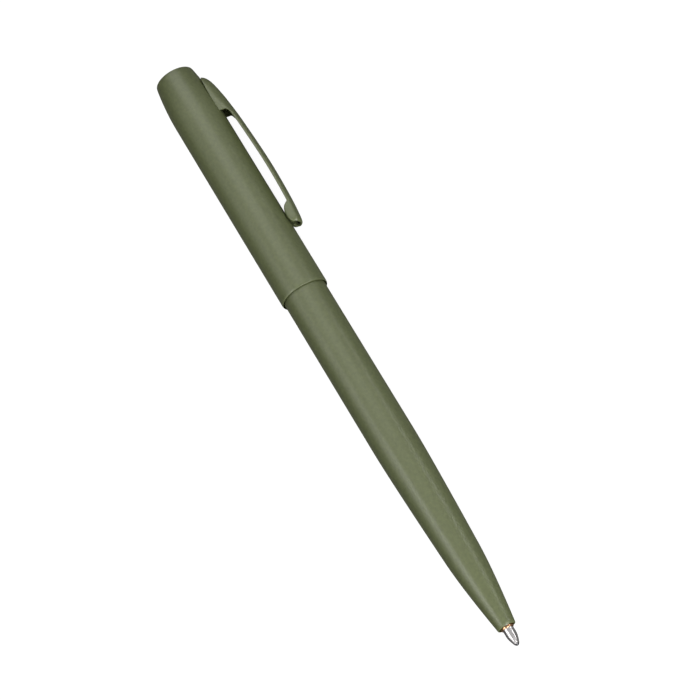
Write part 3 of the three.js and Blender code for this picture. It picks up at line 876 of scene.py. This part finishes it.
def dress_inner(colours):
    """Gives each inner piece that keeps its CAD shape a finish of its own."""
    finishes = {
        "cap_bush": moulded("bush_acetal", colours.black, 0.5),
        "plunger": moulded("plunger_acetal", colours.white, 0.42),
        "guide_bush": machined("guide_brass", colours.brass, 0.3, mm(0.08), mm(0.004)),
        "mechanism_housing": machined("housing_brass", colours.brass, 0.26, mm(0.1), mm(0.004)),
        "cam_sleeve": moulded("sleeve_acetal", colours.black, 0.45),
        "cam_rotor": moulded("rotor_acetal", colours.white, 0.4),
        "refill_tube": machined("drawn_tube", colours.steel, 0.32, mm(0.5), mm(0.002)),
        "refill_tail_plug": machined("plug_brass", colours.brass, 0.32, mm(0.08), mm(0.004)),
        "ink_float": moulded("float_grease", colours.black, 0.35),
        "ink_column": wet_ink("writing_ink", colours.ink),
        "refill_carrier": machined("carrier_brass", colours.brass, 0.28, mm(0.08), mm(0.004)),
    }
    for name, material in finishes.items():
        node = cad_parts[name]
        node.data.materials.clear()
        node.data.materials.append(material)


# Stage


PEN_MIDDLE = Vector((mm(66), 0, 0))
FLOOR_SIZE = 0.9
FILL_LIGHT = 0.04
PAPER_GREY = 0.2

# A mirrored ray sees a share of the white: of the floor, and of the room round the camera, less from one
# angle to the next and none past it, so that coat and steel go dark towards their edges
MIRRORED_FLOOR = 0.03
MIRRORED_ROOM = 0.4
ROOM_BRIGHT_TO, ROOM_DARK_FROM = 55, 100  # degrees from the direction towards the camera

LAMP_DISTANCE, LAMP_LENGTH = 0.6, 0.5
LAMPS = (
    ("left_softbox", -60, -0.2, 0.12, 0.25),
    ("upper_left_softbox", -40, -0.2, 0.12, 0.8),
    ("low_softbox", 60, -0.2, 0.12, 0.85),
    ("nose_left_softbox", -26, 1.3, 0.12, 0.4),
    ("nose_right_softbox", 24, 1.3, 0.12, 2.5),
    ("tail_softbox", 8, -1.1, 0.5, 0.85),
)  # name, degrees from the view towards the clip, lean towards the nose, width and power


def across_view(back):
    """The pen's axis as the picture shows it, and the direction across it on the clip's side."""
    axis = (ALONG - ALONG.dot(back) * back).normalized()
    return axis, back.cross(axis)


def view_axes(sizes):
    """The camera's own axes: out of the picture, to its right and down it."""
    tilt, roll, lean = radians(21.072), radians(58.667), radians(2.5)
    across = Vector((0, sin(sizes.clip_roll), cos(sizes.clip_roll)))
    back = cos(lean) * (cos(tilt) * across + sin(tilt) * ALONG) + sin(lean) * clip_direction(sizes)
    back.normalize()
    axis, side = across_view(back)
    right = cos(roll) * axis + sin(roll) * side
    down = sin(roll) * axis - cos(roll) * side
    return back, right, down


def make_camera(sizes):
    """The photograph's viewing angle, a long lens turned until the pen lies on the diagonal."""
    back, right, down = view_axes(sizes)
    aim = Vector((mm(68.04), 0, 0)) + clip_direction(sizes) * mm(1.808)
    distance = mm(467.107)
    focal_pixels, frame_pixels = 2493.53, 700
    data = bpy.data.cameras.new("camera")
    data.sensor_width = 36
    data.lens = 36 * focal_pixels / frame_pixels
    data.clip_start = 0.01
    camera = bpy.data.objects.new("camera", data)
    turn = Matrix((right, -down, back)).transposed()
    camera.matrix_world = Matrix.Translation(aim + back * distance) @ turn.to_4x4()
    bpy.context.scene.collection.objects.link(camera)
    bpy.context.scene.camera = camera


def add_lamp(name, direction, width, power):
    """A softbox that faces the pen from a direction, its length along the pen."""
    data = bpy.data.lights.new(name, "AREA")
    data.shape = "RECTANGLE"
    data.size = width
    data.size_y = LAMP_LENGTH
    data.energy = power
    lamp = bpy.data.objects.new(name, data)
    face = direction.normalized()
    long_side = ALONG - face.x * face
    long_side.normalize()
    turn = Matrix((long_side.cross(face), long_side, face)).transposed()
    lamp.matrix_world = Matrix.Translation(PEN_MIDDLE + face * LAMP_DISTANCE) @ turn.to_4x4()
    bpy.context.scene.collection.objects.link(lamp)


def make_lamps(sizes):
    """Softboxes round the view: three beside the pen, two past its nose and one past its tail."""
    back, _, _ = view_axes(sizes)
    _, side = across_view(back)
    for name, turn, lean, width, power in LAMPS:
        face = cos(radians(turn)) * back + sin(radians(turn)) * side
        add_lamp(name, face + ALONG * lean, width, power)


def seen_white(tree, share):
    """1 for the camera and through glass, a share for mirrored rays, 0 for the light on the pen."""
    path = add(tree, "ShaderNodeLightPath").outputs
    mirrored = add(tree, "ShaderNodeMath", {0: path["Is Glossy Ray"], 1: share}, operation="MULTIPLY")
    first = add(
        tree, "ShaderNodeMath", {0: path["Is Camera Ray"], 1: mirrored.outputs[0]}, operation="MAXIMUM"
    )
    both = add(
        tree, "ShaderNodeMath", {0: first.outputs[0], 1: path["Is Transmission Ray"]}, operation="MAXIMUM"
    )
    return both.outputs[0]


def round_the_camera(tree, back):
    """The room's share for rays that leave towards the camera, falling to 0 for those that leave sideways."""
    ray = add(tree, "ShaderNodeTexCoord").outputs["Generated"]
    facing = add(tree, "ShaderNodeVectorMath", {0: ray, 1: back}, operation="DOT_PRODUCT")
    share = add(
        tree,
        "ShaderNodeMapRange",
        {
            "Value": facing.outputs["Value"],
            "From Min": cos(radians(ROOM_DARK_FROM)),
            "From Max": cos(radians(ROOM_BRIGHT_TO)),
            "To Max": MIRRORED_ROOM,
        },
    )
    return share.outputs[0]


def floor_finish(colour):
    # Matte white paper that shows white, and still keeps the pen's soft shadow
    material, tree = new_material("studio_paper")
    place = add(tree, "ShaderNodeTexCoord").outputs["Object"]
    fibre = add(tree, "ShaderNodeTexNoise", {"Vector": place, "Scale": 1 / mm(0.6), "Detail": 3.0})
    bump = add(tree, "ShaderNodeBump", {"Height": fibre.outputs[0], "Strength": 0.05, "Distance": mm(0.02)})
    grey = (PAPER_GREY, PAPER_GREY, PAPER_GREY, 1)
    paper = add(tree, "ShaderNodeBsdfDiffuse", {"Color": grey, "Normal": bump.outputs[0]})
    seen = seen_white(tree, MIRRORED_FLOOR)
    glow = add(tree, "ShaderNodeEmission", {"Color": tuple(colour), "Strength": 1.0})
    dark = add(tree, "ShaderNodeEmission", {"Strength": 0.0})
    lit = add(tree, "ShaderNodeMixShader", {0: seen, 1: dark.outputs[0], 2: glow.outputs[0]})
    both = add(tree, "ShaderNodeAddShader", {0: paper.outputs[0], 1: lit.outputs[0]})
    close(tree, both)
    return material


def make_stage(sizes, colours):
    """Pale floor, white surroundings, softboxes and camera."""
    bm = bmesh.new()
    bmesh.ops.create_grid(bm, x_segments=12, y_segments=12, size=FLOOR_SIZE)
    bmesh.ops.translate(bm, verts=bm.verts, vec=(PEN_MIDDLE.x, 0, -sizes.cap_radius))
    floor = finished(bm, "floor", floor_finish(colours.floor))
    world = bpy.data.worlds.new("studio")
    bpy.context.scene.world = world
    world.use_nodes = True
    tree = world.node_tree
    tree.nodes.clear()
    fill = add(tree, "ShaderNodeBackground", {"Color": (1, 1, 1, 1), "Strength": FILL_LIGHT})
    white = add(tree, "ShaderNodeBackground", {"Color": (1, 1, 1, 1), "Strength": 1.0})
    back, _, _ = view_axes(sizes)
    seen = seen_white(tree, round_the_camera(tree, back))
    mixed = add(tree, "ShaderNodeMixShader", {0: seen, 1: fill.outputs[0], 2: white.outputs[0]})
    add(tree, "ShaderNodeOutputWorld", {"Surface": mixed.outputs[0]})
    make_lamps(sizes)
    make_camera(sizes)
    bpy.context.scene.view_settings.view_transform = "Standard"


# Operators and panel


class PEN_OT_cap(bpy.types.Operator):
    """Make the drawn cap with its slot"""

    bl_idname = "pen.make_cap"
    bl_label = "Make Cap"

    def execute(self, context):
        make_cap(context.scene.pen_sizes, context.scene.pen_colours)
        return {"FINISHED"}


class PEN_OT_clip(bpy.types.Operator):
    """Make the pressed pocket clip"""

    bl_idname = "pen.make_clip"
    bl_label = "Make Clip"

    def execute(self, context):
        make_clip(context.scene.pen_sizes, context.scene.pen_colours)
        return {"FINISHED"}


class PEN_OT_barrel(bpy.types.Operator):
    """Make the barrel with its tapering nose"""

    bl_idname = "pen.make_barrel"
    bl_label = "Make Barrel"

    def execute(self, context):
        make_barrel(context.scene.pen_sizes, context.scene.pen_colours)
        return {"FINISHED"}


class PEN_OT_point(bpy.types.Operator):
    """Make the steel point and its ball"""

    bl_idname = "pen.make_point"
    bl_label = "Make Point"

    def execute(self, context):
        make_point(context.scene.pen_colours)
        return {"FINISHED"}


class PEN_OT_spring(bpy.types.Operator):
    """Wind the cartridge's spring"""

    bl_idname = "pen.make_spring"
    bl_label = "Wind Spring"

    def execute(self, context):
        make_spring(context.scene.pen_sizes, context.scene.pen_colours)
        return {"FINISHED"}


class PEN_OT_inner(bpy.types.Operator):
    """Finish the inner pieces"""

    bl_idname = "pen.dress_inner"
    bl_label = "Finish Inner Pieces"

    def execute(self, context):
        dress_inner(context.scene.pen_colours)
        return {"FINISHED"}


class PEN_OT_stage(bpy.types.Operator):
    """Set up the floor, lamps and camera"""

    bl_idname = "pen.make_stage"
    bl_label = "Set Up Studio"

    def execute(self, context):
        make_stage(context.scene.pen_sizes, context.scene.pen_colours)
        return {"FINISHED"}


class PEN_PT_panel(bpy.types.Panel):
    """Sizes, colours and pieces of the pen"""

    bl_label = "Retractable Pen"
    bl_space_type = "VIEW_3D"
    bl_region_type = "UI"
    bl_category = "Pen"

    def draw(self, context):
        layout = self.layout
        for group in (context.scene.pen_sizes, context.scene.pen_colours):
            column = layout.column(align=True)
            for name in group.__annotations__:
                column.prop(group, name)
        for operator in OPERATORS:
            layout.operator(operator.bl_idname)


OPERATORS = (
    PEN_OT_cap,
    PEN_OT_clip,
    PEN_OT_barrel,
    PEN_OT_point,
    PEN_OT_spring,
    PEN_OT_inner,
    PEN_OT_stage,
)
CLASSES = (PenSizes, PenColours, *OPERATORS, PEN_PT_panel)


def register():
    for cls in CLASSES:
        bpy.utils.register_class(cls)
    bpy.types.Scene.pen_sizes = PointerProperty(type=PenSizes)
    bpy.types.Scene.pen_colours = PointerProperty(type=PenColours)


def unregister():
    del bpy.types.Scene.pen_colours
    del bpy.types.Scene.pen_sizes
    for cls in reversed(CLASSES):
        bpy.utils.unregister_class(cls)


def main():
    """Makes every piece in order."""
    register()
    bpy.ops.pen.make_cap()
    bpy.ops.pen.make_clip()
    bpy.ops.pen.make_barrel()
    bpy.ops.pen.make_point()
    bpy.ops.pen.make_spring()
    bpy.ops.pen.dress_inner()
    bpy.ops.pen.make_stage()


if __name__ == "__main__":
    main()
